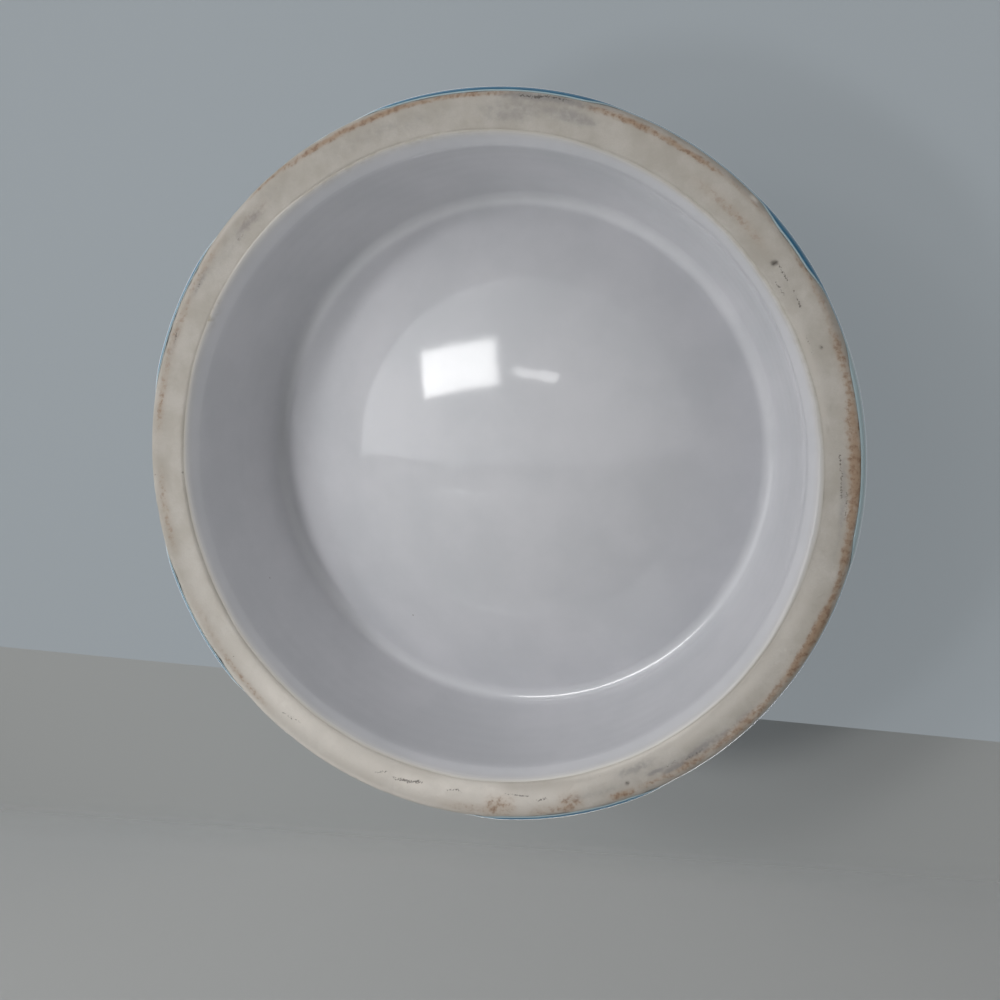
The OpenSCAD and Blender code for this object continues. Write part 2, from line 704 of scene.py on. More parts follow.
@dataclass(frozen=True)
class FootWear:
    """Marks of use on the bare foot ring, each placed as it shows in the photograph.

    Attributes:
        brown: Brown stains, most of them along the outer edge.
        soot: Grey smudges.
        slip: Pale smears of glaze and slip.
        scratches: Dark scratches.
        pits: Holes in the clay, whose strength is a depth in millimetres.
    """

    brown: tuple[Patch, ...] = (
        Patch(-177, 6, 78.0, 1.3, 0.8),
        Patch(-170, 5, 77.7, 0.9, 0.6),
        Patch(-160, 8, 78.3, 0.8, 0.75),
        Patch(-152, 6, 78.0, 1.0, 0.95),
        Patch(-140, 8, 78.0, 1.0, 0.6),
        Patch(-130, 8, 77.6, 1.3, 0.45),
        Patch(-120, 6, 77.6, 1.2, 0.4),
        Patch(-112, 2.2, 77.5, 0.9, 0.7),
        Patch(-103.7, 2.2, 76.2, 2.6, 0.42),
        Patch(-100, 4, 77.5, 1.6, 0.35),
        Patch(-91.5, 2.8, 75.8, 2.6, 0.42),
        Patch(-86, 6, 77.2, 1.6, 0.3),
        Patch(-40, 7, 76.8, 0.9, 0.4),
        Patch(-28, 6, 76.6, 1.2, 0.25),
        Patch(-7, 8, 76.6, 1.3, 0.35),
        Patch(12, 6, 77.0, 1.1, 0.45),
        Patch(24, 6, 77.2, 1.3, 0.4),
        Patch(36, 6, 77.4, 1.2, 0.35),
        Patch(48, 4, 75.2, 1.6, 0.3),
        Patch(54.5, 5, 78.6, 0.45, 0.6),
        Patch(68, 10, 77.9, 0.75, 0.85),
        Patch(82, 8, 78.2, 0.6, 0.75),
        Patch(93, 5, 78.2, 0.6, 0.55),
        Patch(112, 5, 77.9, 0.8, 0.6),
        Patch(122, 8, 77.8, 0.7, 0.75),
        Patch(134, 10, 78.3, 0.6, 0.3),
        Patch(136, 8, 74.2, 1.3, 0.35),
        Patch(152, 6, 78.3, 0.8, 0.45),
        Patch(166, 8, 77.9, 1.1, 0.6),
        Patch(177, 6, 77.6, 1.6, 0.7),
    )
    soot: tuple[Patch, ...] = (
        Patch(-177, 6, 75.4, 0.8, 0.4),
        Patch(-170, 6, 75.9, 0.7, 0.3),
        Patch(-134, 7, 76.6, 1.0, 0.35),
        Patch(-128, 14, 73.6, 2.6, 0.12),
        Patch(-125, 7, 76.2, 1.3, 0.4),
        Patch(-127, 2, 76.2, 0.4, 0.9),
        Patch(-122, 1.5, 76.8, 0.4, 0.9),
        Patch(-119, 1.5, 75.6, 0.4, 0.8),
        Patch(-116, 4, 73.2, 1.4, 0.45),
        Patch(-108, 6, 75.6, 0.8, 0.35),
        Patch(22, 3, 76.8, 0.7, 0.4),
        Patch(33, 3, 76.5, 0.7, 0.4),
        Patch(45, 12, 75.0, 3.0, 0.3),
        Patch(47, 3, 75.0, 1.0, 0.35),
        Patch(76, 14, 74.6, 3.0, 0.3),
        Patch(96, 4, 73.2, 1.4, 0.3),
        Patch(100, 9, 75.6, 2.2, 0.45),
        Patch(102, 7, 78.0, 0.7, 0.9),
        Patch(108, 3, 75.0, 1.2, 0.45),
    )
    slip: tuple[Patch, ...] = (
        Patch(-150, 12, 72.8, 1.7, 0.4),
        Patch(-136, 5, 77.6, 0.8, 0.5),
        Patch(-130, 12, 72.6, 1.6, 0.5),
        Patch(-118, 14, 71.2, 0.8, 0.5),
        Patch(-112, 8, 72.8, 1.6, 0.5),
        Patch(-97, 9, 74.4, 2.8, 0.75),
        Patch(-86, 6, 72.2, 1.4, 0.7),
        Patch(-82, 10, 74.8, 2.8, 0.35),
        Patch(-62, 24, 73.8, 3.8, 0.7),
        Patch(-70.2, 0.5, 79.6, 0.5, 1.0),
        Patch(-55, 30, 78.4, 0.6, 0.5),
        Patch(-35, 22, 73.2, 2.8, 0.3),
        Patch(-8, 20, 72.8, 2.2, 0.1),
        Patch(40, 12, 78.2, 0.6, 0.3),
        Patch(137, 0.7, 79.0, 0.5, 0.9),
        Patch(165, 12, 72.0, 1.0, 0.35),
    )
    scratches: tuple[Stroke, ...] = (
        Stroke((-179, 75.0), (-175, 75.2), 0.3, 0.6),
        Stroke((-176, 76.2), (-172, 76.4), 0.3, 0.5),
        Stroke((-127.5, 76.6), (-124.5, 76.4), 0.35, 0.55),
        Stroke((-123, 75.5), (-121, 75.7), 0.3, 0.5),
        Stroke((-113.9, 75.6), (-113.9, 75.6), 0.3, 1.0),
        Stroke((-99.4, 74.7), (-98.1, 75.0), 0.28, 0.95),
        Stroke((-96.9, 73.9), (-94.6, 73.6), 0.25, 0.75),
        Stroke((-94.6, 73.5), (-92.5, 73.2), 0.22, 0.65),
        Stroke((-84.6, 73.7), (-83.6, 73.2), 0.22, 0.8),
        Stroke((-83.6, 73.3), (-81.9, 73.9), 0.22, 0.75),
        Stroke((-77.1, 73.5), (-76.3, 73.8), 0.3, 1.0),
        Stroke((-76.6, 73.2), (-74.6, 74.7), 0.22, 0.95),
        Stroke((-75.4, 73.9), (-73.8, 74.2), 0.22, 0.85),
        Stroke((-74.6, 74.2), (-72.2, 75.0), 0.22, 0.95),
        Stroke((-73.6, 74.1), (-72.0, 74.5), 0.18, 0.7),
        Stroke((-70.4, 73.8), (-68.8, 75.1), 0.25, 0.75),
        Stroke((-52.5, 74.3), (-50.8, 74.5), 0.25, 0.6),
        Stroke((-51.0, 74.9), (-48.6, 75.2), 0.25, 0.6),
        Stroke((-35.8, 75.2), (-35.8, 75.2), 0.32, 0.8),
        Stroke((-1.0, 78.3), (-1.0, 78.3), 0.35, 0.7),
        Stroke((22.2, 76.7), (24.0, 77.0), 0.28, 0.6),
        Stroke((32.2, 76.2), (33.8, 76.6), 0.25, 0.55),
        Stroke((43.2, 74.4), (44.6, 74.0), 0.25, 0.6),
        Stroke((97.5, 77.9), (101, 77.8), 0.35, 0.75),
        Stroke((100.5, 78.3), (105.5, 78.2), 0.35, 0.7),
        Stroke((147.2, 74.5), (149.7, 74.3), 0.22, 0.85),
        Stroke((149.0, 72.3), (151.2, 72.4), 0.22, 0.7),
        Stroke((151.5, 74.4), (154.4, 74.1), 0.22, 0.8),
        Stroke((158.8, 72.8), (161.9, 72.9), 0.25, 0.4),
        Stroke((161.3, 74.8), (161.3, 74.8), 0.34, 0.9),
        Stroke((178.0, 74.6), (180.5, 74.7), 0.28, 0.7),
    )
    pits: tuple[Stroke, ...] = (
        Stroke((146.4, 73.9), (146.5, 74.4), 0.38, 0.5),
        Stroke((-113.9, 75.6), (-113.9, 75.6), 0.36, 0.3),
        Stroke((161.3, 74.8), (161.3, 74.8), 0.3, 0.2),
    )


class Canvas:
    """A node tree being filled: short methods that add one node each and hand back its output."""

    def __init__(self, tree: bpy.types.NodeTree) -> None:
        """Takes an empty node tree."""
        self.tree = tree

    def add(self, kind: str, **settings: object) -> bpy.types.Node:
        """Adds a node and sets its properties.

        Args:
            kind: Blender's type name of the node.
            settings: Property values by name.

        Returns:
            The new node.
        """
        node = self.tree.nodes.new(kind)
        for name, value in settings.items():
            setattr(node, name, value)
        return node

    def feed(self, socket: Socket, value: Value) -> None:
        """Sets an input to a constant, or links it to another node's output.

        Args:
            socket: The input.
            value: A number, a colour or an output socket.
        """
        if isinstance(value, bpy.types.NodeSocket):
            self.tree.links.new(value, socket)
        elif socket.type == "RGBA":
            socket.default_value = (*value, 1)
        else:
            socket.default_value = value

    def position(self) -> Socket:
        """Object coordinates."""
        return self.add("ShaderNodeTexCoord").outputs["Object"]

    def attribute(self, name: str) -> Socket:
        """Named value of the mesh's points."""
        return self.add("ShaderNodeAttribute", attribute_name=name).outputs["Fac"]

    def noise(self, place: Socket, scale: Value, detail: float = 3, roughness: float = 0.55) -> Socket:
        """Soft noise from 0 to 1.

        Args:
            place: Coordinates.
            scale: Cells in a metre.
            detail: Number of finer layers.
            roughness: Weight of the finer layers.

        Returns:
            The noise value.
        """
        node = self.add("ShaderNodeTexNoise")
        self.feed(node.inputs["Vector"], place)
        self.feed(node.inputs["Scale"], scale)
        self.feed(node.inputs["Detail"], detail)
        self.feed(node.inputs["Roughness"], roughness)
        return node.outputs["Fac"]

    def calc(self, operation: str, first: Value, second: Value = 0.0) -> Socket:
        """Arithmetic on two values.

        Args:
            operation: Blender's name of the operation.
            first: First value.
            second: Second value.

        Returns:
            The result.
        """
        node = self.add("ShaderNodeMath", operation=operation)
        self.feed(node.inputs[0], first)
        self.feed(node.inputs[1], second)
        return node.outputs[0]

    def times(self, first: Value, second: Value) -> Socket:
        """Product of two values."""
        return self.calc("MULTIPLY", first, second)

    def plus(self, first: Value, second: Value) -> Socket:
        """Sum of two values."""
        return self.calc("ADD", first, second)

    def rise(self, value: Socket, low: Value, high: Value, start: float = 0, end: float = 1) -> Socket:
        """Eased rise from start at low to end at high.

        Args:
            value: The value that is mapped.
            low: Value at which the rise starts.
            high: Value at which the rise ends.
            start: Result below low.
            end: Result above high.

        Returns:
            The mapped value.
        """
        node = self.add("ShaderNodeMapRange", interpolation_type="SMOOTHSTEP")
        for name, given in (("Value", value), ("From Min", low), ("From Max", high),
                            ("To Min", start), ("To Max", end)):
            self.feed(node.inputs[name], given)
        return node.outputs["Result"]

    def blend(self, share: Value, first: Value, second: Value) -> Socket:
        """Colour between two colours.

        Args:
            share: Share of the second colour.
            first: Colour at 0.
            second: Colour at 1.

        Returns:
            The blended colour.
        """
        node = self.add("ShaderNodeMix", data_type="RGBA")
        self.feed(node.inputs["Factor"], share)
        colours = [socket for socket in node.inputs if socket.type == "RGBA"]
        self.feed(colours[0], first)
        self.feed(colours[1], second)
        return next(socket for socket in node.outputs if socket.type == "RGBA")

    def effect(self, group: bpy.types.NodeTree, **values: Value) -> Socket:
        """Places a shared effect.

        Args:
            group: The node group.
            values: Values of its inputs by name.

        Returns:
            The group's first output.
        """
        node = self.add("ShaderNodeGroup", node_tree=group)
        for name, value in values.items():
            self.feed(node.inputs[name], value)
        return node.outputs[0]

    def show(self, share: Value, first: Socket, second: Socket) -> None:
        """Shows a mix of two shaders at the tree's own output.

        Args:
            share: Share of the second shader.
            first: Shader at 0.
            second: Shader at 1.
        """
        mix = self.add("ShaderNodeMixShader")
        for socket, value in zip(mix.inputs, (share, first, second)):
            self.feed(socket, value)
        output = next(node for node in self.tree.nodes if node.type.startswith("OUTPUT"))
        self.feed(output.inputs["Surface"], mix.outputs[0])


class Effects:
    """Node groups that more than one finish uses. Each puts out one mask."""

    def __init__(self) -> None:
        """Builds every group once."""
        self.clouds = self._clouds()
        self.streaks = self._streaks()
        self.specks = self._specks()

    @staticmethod
    def _group(name: str, *inputs: tuple[str, str, float | None]) -> tuple[Canvas, bpy.types.Node, Socket]:
        """Starts a group with named inputs and one output called Mask.

        Args:
            name: Name of the group.
            inputs: Name, socket type and default of each input.

        Returns:
            The canvas, the group's input node and its output socket.
        """
        group = bpy.data.node_groups.new(name, "ShaderNodeTree")
        for label, kind, default in inputs:
            socket = group.interface.new_socket(label, in_out="INPUT", socket_type=kind)
            if default is not None:
                socket.default_value = default
        group.interface.new_socket("Mask", in_out="OUTPUT", socket_type="NodeSocketFloat")
        canvas = Canvas(group)
        return canvas, canvas.add("NodeGroupInput"), canvas.add("NodeGroupOutput").inputs["Mask"]

    def _clouds(self) -> bpy.types.NodeTree:
        """Soft mottling: noise with its middle range stretched to the whole range."""
        canvas, given, result = self._group(
            "Clouds",
            ("Position", "NodeSocketVector", None),
            ("Scale", "NodeSocketFloat", 60.0),
        )
        level = canvas.noise(given.outputs["Position"], given.outputs["Scale"], detail=4)
        canvas.feed(result, canvas.rise(level, 0.3, 0.7))
        return canvas.tree

    def _streaks(self) -> bpy.types.NodeTree:
        """Noise drawn out along the turning direction.

        The noise is read at (R cos angle, R sin angle, stretch times radius plus height), which keeps lengths
        along the ring and shortens them across it, and has no seam.
        """
        canvas, given, result = self._group(
            "Ring Streaks",
            ("Position", "NodeSocketVector", None),
            ("Scale", "NodeSocketFloat", 300.0),
            ("Stretch", "NodeSocketFloat", 3.0),
        )
        ring_radius = 75 * MM
        parts = canvas.add("ShaderNodeSeparateXYZ")
        canvas.feed(parts.inputs[0], given.outputs["Position"])
        x, y, z = parts.outputs
        radius = canvas.calc("SQRT", canvas.plus(canvas.times(x, x), canvas.times(y, y)))
        scale = canvas.calc("DIVIDE", ring_radius, radius)
        across = canvas.times(canvas.plus(radius, z), given.outputs["Stretch"])
        place = canvas.add("ShaderNodeCombineXYZ")
        for socket, value in zip(place.inputs, (canvas.times(x, scale), canvas.times(y, scale), across)):
            canvas.feed(socket, value)
        level = canvas.noise(place.outputs[0], given.outputs["Scale"], detail=4, roughness=0.6)
        canvas.feed(result, canvas.rise(level, 0.28, 0.72))
        return canvas.tree

    def _specks(self) -> bpy.types.NodeTree:
        """Small dots, one in some of the cells of a scattered grid.

        A dot is where the distance to the cell's point is under Size, if the cell's own random level is under
        Share.
        """
        canvas, given, result = self._group(
            "Specks",
            ("Position", "NodeSocketVector", None),
            ("Scale", "NodeSocketFloat", 120.0),
            ("Size", "NodeSocketFloat", 0.05),
            ("Share", "NodeSocketFloat", 0.3),
        )
        cells = canvas.add("ShaderNodeTexVoronoi")
        canvas.feed(cells.inputs["Vector"], given.outputs["Position"])
        canvas.feed(cells.inputs["Scale"], given.outputs["Scale"])
        draw = canvas.add("ShaderNodeSeparateColor")
        canvas.feed(draw.inputs[0], cells.outputs["Color"])
        chosen = canvas.calc("LESS_THAN", draw.outputs[0], given.outputs["Share"])
        smallest = 0.4
        solid_share = 0.6
        size = canvas.times(given.outputs["Size"], canvas.plus(smallest, draw.outputs[1]))
        edge = canvas.times(size, solid_share)
        dot = canvas.rise(cells.outputs["Distance"], edge, size, 1, 0)
        canvas.feed(result, canvas.times(dot, chosen))
        return canvas.tree


class Finish:
    """A material with a Principled shader, filled in by its kind."""

    name = "Finish"

    def material(self, effects: Effects) -> bpy.types.Material:
        """Builds the material.

        Args:
            effects: The shared node groups.

        Returns:
            The material.
        """
        material = bpy.data.materials.new(self.name)
        material.use_nodes = True
        shader = material.node_tree.nodes["Principled BSDF"]
        self.fill(Canvas(material.node_tree), shader, effects)
        return material

    def fill(self, canvas: Canvas, shader: bpy.types.Node, effects: Effects) -> None:
        """Fills the shader's inputs; each finish has its own."""
        raise NotImplementedError

    @staticmethod
    def bump(canvas: Canvas, shader: bpy.types.Node, height: Socket, depth: float) -> None:
        """Adds fine relief from a height that runs from 0 to 1.

        Args:
            canvas: The material's tree.
            shader: The Principled shader.
            height: The height.
            depth: Depth of the relief at a height of 1.
        """
        node = canvas.add("ShaderNodeBump")
        canvas.feed(node.inputs["Distance"], depth)
        canvas.feed(node.inputs["Height"], height)
        canvas.feed(shader.inputs["Normal"], node.outputs["Normal"])


@dataclass(frozen=True)
class WhiteGlaze(Finish):
    """Glossy white glaze, a little cool where it is thick and warmer where it runs thin over an edge.

    Attributes:
        thick: Colour of the full coat.
        cloudy: Colour of its cloudier places.
        worn: Colour where it is thin.
        grime: Colour of the dirt that lies along its lower edge.
        speck: Colour of the small specks in it.
        name: Name of the material.
    """

    thick: Colour = display(206, 206, 210)
    cloudy: Colour = display(198, 199, 203)
    worn: Colour = display(184, 179, 170)
    grime: Colour = display(140, 128, 104)
    speck: Colour = display(96, 84, 74)
    name: str = "white glaze"

    def fill(self, canvas: Canvas, shader: bpy.types.Node, effects: Effects) -> None:
        """Fills the shader: clouded white, thin edges, grime along the lower edge and a few specks.

        Args:
            canvas: The material's tree.
            shader: The Principled shader.
            effects: The shared node groups.
        """
        place = canvas.position()
        clouds = canvas.effect(effects.clouds, Position=place, Scale=45.0)
        fine = canvas.effect(effects.clouds, Position=place, Scale=420.0)
        colour = canvas.blend(clouds, self.thick, self.cloudy)
        thin = canvas.attribute("thin")
        colour = canvas.blend(thin, colour, self.worn)
        dirt = canvas.times(canvas.attribute("grime"), canvas.rise(fine, 0.2, 0.9))
        colour = canvas.blend(dirt, colour, self.grime)
        specks = canvas.effect(effects.specks, Position=place, Scale=85.0, Size=0.022, Share=0.22)
        colour = canvas.blend(canvas.times(specks, 0.55), colour, self.speck)
        canvas.feed(shader.inputs["Base Color"], colour)
        matt = canvas.times(thin, 0.4)
        canvas.feed(shader.inputs["Roughness"], canvas.plus(canvas.rise(clouds, 0, 1, 0.06, 0.11), matt))
        canvas.feed(shader.inputs["IOR"], GLAZE_IOR)
        skin = canvas.noise(place, 160.0, detail=2)
        self.bump(canvas, shader, skin, 0.03 * MM)


@dataclass(frozen=True)
class BlueGlaze(Finish):
    """Glossy blue glaze that breaks pale where it runs thin over the foot edge and the rim, with a painted
    reflection along part of the foot edge.

    Attributes:
        deep: Colour where the coat is thick.
        mid: Colour of the even coat.
        pale: Colour where it breaks over an edge, and of the painted reflection where the pale line along the
            foot is widened.
        name: Name of the material.
    """

    deep: Colour = display(48, 96, 128)
    mid: Colour = display(70, 122, 150)
    pale: Colour = display(162, 180, 185)
    name: str = "blue glaze"

    def fill(self, canvas: Canvas, shader: bpy.types.Node, effects: Effects) -> None:
        """Fills the shader: clouded and streaked blue, pale thin edges widened in places by a painted
        reflection, and a few pinholes.

        Args:
            canvas: The material's tree.
            shader: The Principled shader.
            effects: The shared node groups.
        """
        place = canvas.position()
        clouds = canvas.effect(effects.clouds, Position=place, Scale=55.0)
        streaks = canvas.effect(effects.streaks, Position=place, Scale=70.0, Stretch=5.0)
        cloudy = canvas.times(clouds, 0.55)
        tone = canvas.plus(cloudy, canvas.times(streaks, 0.45))
        colour = canvas.blend(tone, self.deep, self.mid)
        fine = canvas.effect(effects.clouds, Position=place, Scale=300.0)
        mottle = canvas.times(canvas.calc("SUBTRACT", fine, 0.5), 0.12)
        # The thin mask also holds the pale line widened on some arcs, which is a painted reflection and not
        # thin glaze.
        edge = canvas.plus(canvas.attribute("thin"), mottle)
        colour = canvas.blend(canvas.rise(edge, 0.2, 0.85), colour, self.pale)
        specks = canvas.effect(effects.specks, Position=place, Scale=150.0, Size=0.05, Share=0.25)
        colour = canvas.blend(canvas.times(specks, 0.5), colour, self.deep)
        canvas.feed(shader.inputs["Base Color"], colour)
        canvas.feed(shader.inputs["Roughness"], canvas.rise(clouds, 0, 1, 0.08, 0.15))
        canvas.feed(shader.inputs["IOR"], GLAZE_IOR)
        skin = canvas.noise(place, 140.0, detail=2)
        self.bump(canvas, shader, skin, 0.04 * MM)


@dataclass(frozen=True)
class BareClay(Finish):
    """Bare fired clay of the foot ring, worn smooth and stained.

    Attributes:
        pale: Paler clay.
        tan: Warmer clay.
        slip: Smears of glaze and slip.
        brown: Stain.
        rust: Darker grains in the stain.
        soot: Grey smudges.
        fleck: Scratches, and the dirt and painted shade in the pits.
        name: Name of the material.
    """

    pale: Colour = display(186, 181, 174)
    tan: Colour = display(170, 164, 155)
    slip: Colour = display(218, 212, 204)
    brown: Colour = display(158, 132, 107)
    rust: Colour = display(120, 90, 69)
    soot: Colour = display(138, 135, 133)
    fleck: Colour = display(58, 50, 45)
    name: str = "bare clay"

    def fill(self, canvas: Canvas, shader: bpy.types.Node, effects: Effects) -> None:
        """Fills the shader: clay mottled pale and tan, then slip, stain, soot, scratches and pits over it.

        Args:
            canvas: The material's tree.
            shader: The Principled shader.
            effects: The shared node groups.
        """
        place = canvas.position()
        clouds = canvas.effect(effects.clouds, Position=place, Scale=150.0)
        mottle = canvas.effect(effects.clouds, Position=place, Scale=900.0)
        grain = canvas.effect(effects.clouds, Position=place, Scale=2800.0)
        streaks = canvas.effect(effects.streaks, Position=place, Scale=380.0, Stretch=2.0)
        colour = canvas.blend(clouds, self.pale, self.tan)
        colour = canvas.blend(canvas.times(grain, 0.3), colour, self.tan)
        slip = canvas.times(canvas.attribute("slip"), canvas.rise(clouds, 0, 1, 0.75, 1.0))
        colour = canvas.blend(slip, colour, self.slip)
        broken = canvas.times(canvas.plus(streaks, mottle), 0.5)
        brown = canvas.attribute("brown")
        stain = self.ragged(canvas, brown, broken)
        shaded = canvas.plus(canvas.times(stain, 0.35), canvas.times(brown, 0.5))
        colour = canvas.blend(shaded, colour, self.brown)
        rust = canvas.times(stain, canvas.rise(mottle, 0.3, 1.0, 0.0, 0.8))
        rust = canvas.times(rust, canvas.rise(grain, 0.0, 1.0, 0.4, 0.9))
        colour = canvas.blend(rust, colour, self.rust)
        soot = canvas.attribute("soot")
        smudge = canvas.plus(canvas.times(self.ragged(canvas, soot, broken), 0.45),
                             canvas.times(soot, 0.35))
        colour = canvas.blend(smudge, colour, self.soot)
        specks = canvas.effect(effects.specks, Position=place, Scale=240.0, Size=0.06, Share=0.1)
        colour = canvas.blend(canvas.times(specks, 0.4), colour, self.fleck)
        jagged = canvas.times(canvas.calc("SUBTRACT", grain, 0.5), 0.9)
        marked = canvas.rise(canvas.plus(canvas.attribute("scratches"), jagged), 0.4, 1.0, 0, 0.7)
        colour = canvas.blend(marked, colour, self.fleck)
        # Pits darken with their depth: dirt and painted shade together.
        colour = canvas.blend(canvas.times(canvas.attribute("pits"), 0.8), colour, self.fleck)
        canvas.feed(shader.inputs["Base Color"], colour)
        canvas.feed(shader.inputs["Roughness"], canvas.rise(slip, 0, 1, 0.82, 0.6))
        self.bump(canvas, shader, mottle, 0.04 * MM)

    @staticmethod
    def ragged(canvas: Canvas, level: Socket, noise: Socket) -> Socket:
        """Soft level broken up by noise: an eased rise of level times (0.35 plus 1.3 noise).

        Args:
            canvas: The material's tree.
            level: Soft level from the mesh.
            noise: Noise from 0 to 1.

        Returns:
            A ragged mask.
        """
        broken = canvas.times(level, canvas.plus(canvas.times(noise, 1.3), 0.35))
        return canvas.rise(broken, 0.12, 0.8)


@dataclass(frozen=True)
class Piece:
    """A finished piece of the bowl and what it stands for.

    Attributes:
        name: Name of the object.
        node: The solid that it replaces.
        slot: The material slot of the imported record that matches its finish. It is not used.
    """

    name: str
    node: ClayNode
    slot: Slot

    def place(self, mesh: bpy.types.Mesh, material: bpy.types.Material) -> bpy.types.Object:
        """Puts the mesh into the scene, on its body and in place of its solid.

        Args:
            mesh: The mesh, at its place in the frame.
            material: Its finish.

        Returns:
            The new object.
        """
        mesh.materials.append(material)
        piece = bpy.data.objects.new(self.name, mesh)
        bpy.context.scene.collection.objects.link(piece)
        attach(piece, ROOT_BODY)
        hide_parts(self.node.value)
        log.info("%s: %d points, %d faces", self.name, len(mesh.vertices), len(mesh.polygons))
        return piece


@dataclass(frozen=True)
class GlazeLines:
    """Wavy lines at which the coats end.

    Attributes:
        inner_line: Turning points of the white coat's lower edge: an angle in degrees, and how far in
            millimetres the edge lies past the corner of the lip, on the flat foot.
        inner_wave: Size of the waves of that edge.
        blue_arcs: Arcs, as first and last degree, where the outside coat comes low and shows its blue.
        low_reflection_arcs: Arcs where it comes low, and where its pale line is widened as a painted
            reflection.
        low_start: Where the outside coat starts on those arcs, along the clay from the end of the flat foot.
        high_start: Where it starts elsewhere.
        outer_wave: Size of the waves of that start.
        rim_wave: Size of the waves of the line on the rim where white meets blue.
        soft_end: Degrees to either side of an arc's end over which it sets in.
    """

    inner_line: tuple[Pair, ...] = ((-162, 0.4), (-118, -0.4), (-45, -1.1), (45, 0.0), (135, -0.6))
    inner_wave: float = 0.2 * MM
    blue_arcs: tuple[Pair, ...] = ((-117, -88), (-40, -14), (14, 39), (74, 111), (139, 153))
    low_reflection_arcs: tuple[Pair, ...] = ((163, 194),)
    low_start: float = 1.1 * MM
    high_start: float = 3.1 * MM
    outer_wave: float = 0.12 * MM
    rim_wave: float = 0.35 * MM
    soft_end: float = 4.0

    @staticmethod
    def wave(angle: Array, size: float, seed: int) -> Array:
        """Sum of whole-number waves round the ring, with seeded phases, weaker the more of them go round.

        Args:
            angle: Angles in radians.
            size: Typical size.
            seed: Seed of the phases.

        Returns:
            Shifts of the angles' shape.
        """
        counts = (2, 3, 5, 8, 13, 21, 34)
        fall_off = 0.12
        typical_sum = 1.6
        phases = np.random.default_rng(seed).uniform(0, 2 * math.pi, len(counts))
        waves = (np.cos(n * angle + phase) / (1 + fall_off * n) for n, phase in zip(counts, phases))
        return size * sum(waves) / typical_sum

    def within(self, angle: Array, arcs: tuple[Pair, ...]) -> Array:
        """Level that rises to 1 over each arc: an eased fall of the distance from its middle, at its ends.

        Args:
            angle: Angles in radians.
            arcs: First and last degree of each arc.

        Returns:
            Levels of the angles' shape.
        """
        level = np.zeros_like(angle)
        for first, last in arcs:
            half = (last - first) / 2
            from_middle = np.abs(np.degrees(turned_from((first + last) / 2, angle)))
            level += 1 - smooth_step(half - self.soft_end, half + self.soft_end, from_middle)
        return level

    def inner(self, angle: Array) -> Array:
        """How far the white coat's lower edge lies past the lip: straight runs between turning points.

        Args:
            angle: Angles in radians.

        Returns:
            Distances of the angles' shape.
        """
        degrees, shifts = np.array(self.inner_line).T
        even = np.interp(np.degrees(angle), degrees, shifts, period=360) * MM
        return even + self.wave(angle, self.inner_wave, seed=11)

    def outer(self, angle: Array) -> Array:
        """Where the outside coat starts, along the clay from the end of the flat foot: lower on its low arcs.

        Args:
            angle: Angles in radians.

        Returns:
            Distances of the angles' shape.
        """
        low = np.minimum(1, self.within(angle, self.blue_arcs + self.low_reflection_arcs))
        even = self.high_start + (self.low_start - self.high_start) * low
        return even + self.wave(angle, self.outer_wave, seed=17)

    def rim(self, angle: Array) -> Array:
        """How far the line between white and blue lies inside the crest of the rim."""
        return self.wave(angle, self.rim_wave, seed=23)


@dataclass(frozen=True)
class Coat:
    """A glaze coat on the clay: its face stands off the clay's outline, and its back lies on it.

    Attributes:
        section: Half section of the bowl.
        lines: The lines at which the coats end.
        angles: Number of steps round the axis.
        edge_t: Thickness of the coat at its free edge.
        taper: Distance from the free edge over which the coat thickens.
        ripple: Unevenness of the coat.
        back_step: Of the stations of the face, one in so many is kept on the back.
        crisp: Distance from the free edge within which the shading turns over the edge.
        rim_reach: Distance from the crest of the rim over which the grid follows the wavy line there.
    """

    section: Section
    lines: GlazeLines
    angles: int = 640
    edge_t: float = 0.03 * MM
    taper: float = 0.6 * MM
    ripple: Ripple = Ripple(0.03 * MM, 22 * MM, seed=3)
    back_step: int = 4
    crisp: float = 0.02 * MM
    rim_reach: float = 4 * MM

    def thickness(self, from_edge: Array) -> Array:
        """Thickness of the coat: the full one less a part that falls off as exp(-distance / taper).

        Args:
            from_edge: Distance from the free edge.

        Returns:
            Thicknesses of the distances' shape.
        """
        return self.section.glaze_t - (self.section.glaze_t - self.edge_t) * np.exp(-from_edge / self.taper)

    def shell(self, path: Outline, distance: Array, lift: Array, closing: Closing) -> tuple[Turned, slice]:
        """Closed skin of the coat: the outline plus lift along its normal, and back along the outline itself.

        The grid starts with the face, or with the back where the face ends on the axis.

        Args:
            path: Outline of the clay.
            distance: Distance along it, at each angle and station.
            lift: Height of the face over the clay there.
            closing: How the skin closes.

        Returns:
            The skin, and the columns of its grid that belong to the face.
        """
        radius, height = path.at(distance)
        out_r, out_z = path.normal_at(distance)
        count = distance.shape[1]
        rows = np.r_[np.arange(0, count - 1, self.back_step), count - 1][::-1]
        back_first = closing is Closing.ON_AXIS and radius[0, -1] < radius[0, 0]
        order = -1 if back_first else 1
        radii = [radius + out_r * lift, radius[:, rows]][::order]
        heights = [np.maximum(height + out_z * lift, 0), height[:, rows]][::order]
        skin = Turned(np.concatenate(radii, axis=1), np.concatenate(heights, axis=1), closing)
        first = len(rows) if back_first else 0
        return skin, slice(first, first + count)

    def uneven(self, path: Outline, distance: Array, angle: Array) -> Array:
        """Ripple of the coat at the clay's own points."""
        radius, height = path.at(distance)
        return self.ripple.height(radius * np.cos(angle), radius * np.sin(angle), height)

    @staticmethod
    def spread_over(skin: Turned, face: slice, values: dict[str, Array]) -> dict[str, Array]:
        """Named values over the whole skin: as given on the face, and nothing on the back.

        Args:
            skin: The coat's skin.
            face: Columns of its face.
            values: Values on the face, by name.

        Returns:
            Values over the grid, by name.
        """
        fields = {name: np.zeros(skin.radius.shape) for name in values}
        for name, value in values.items():
            fields[name][:, face] = value
        return fields


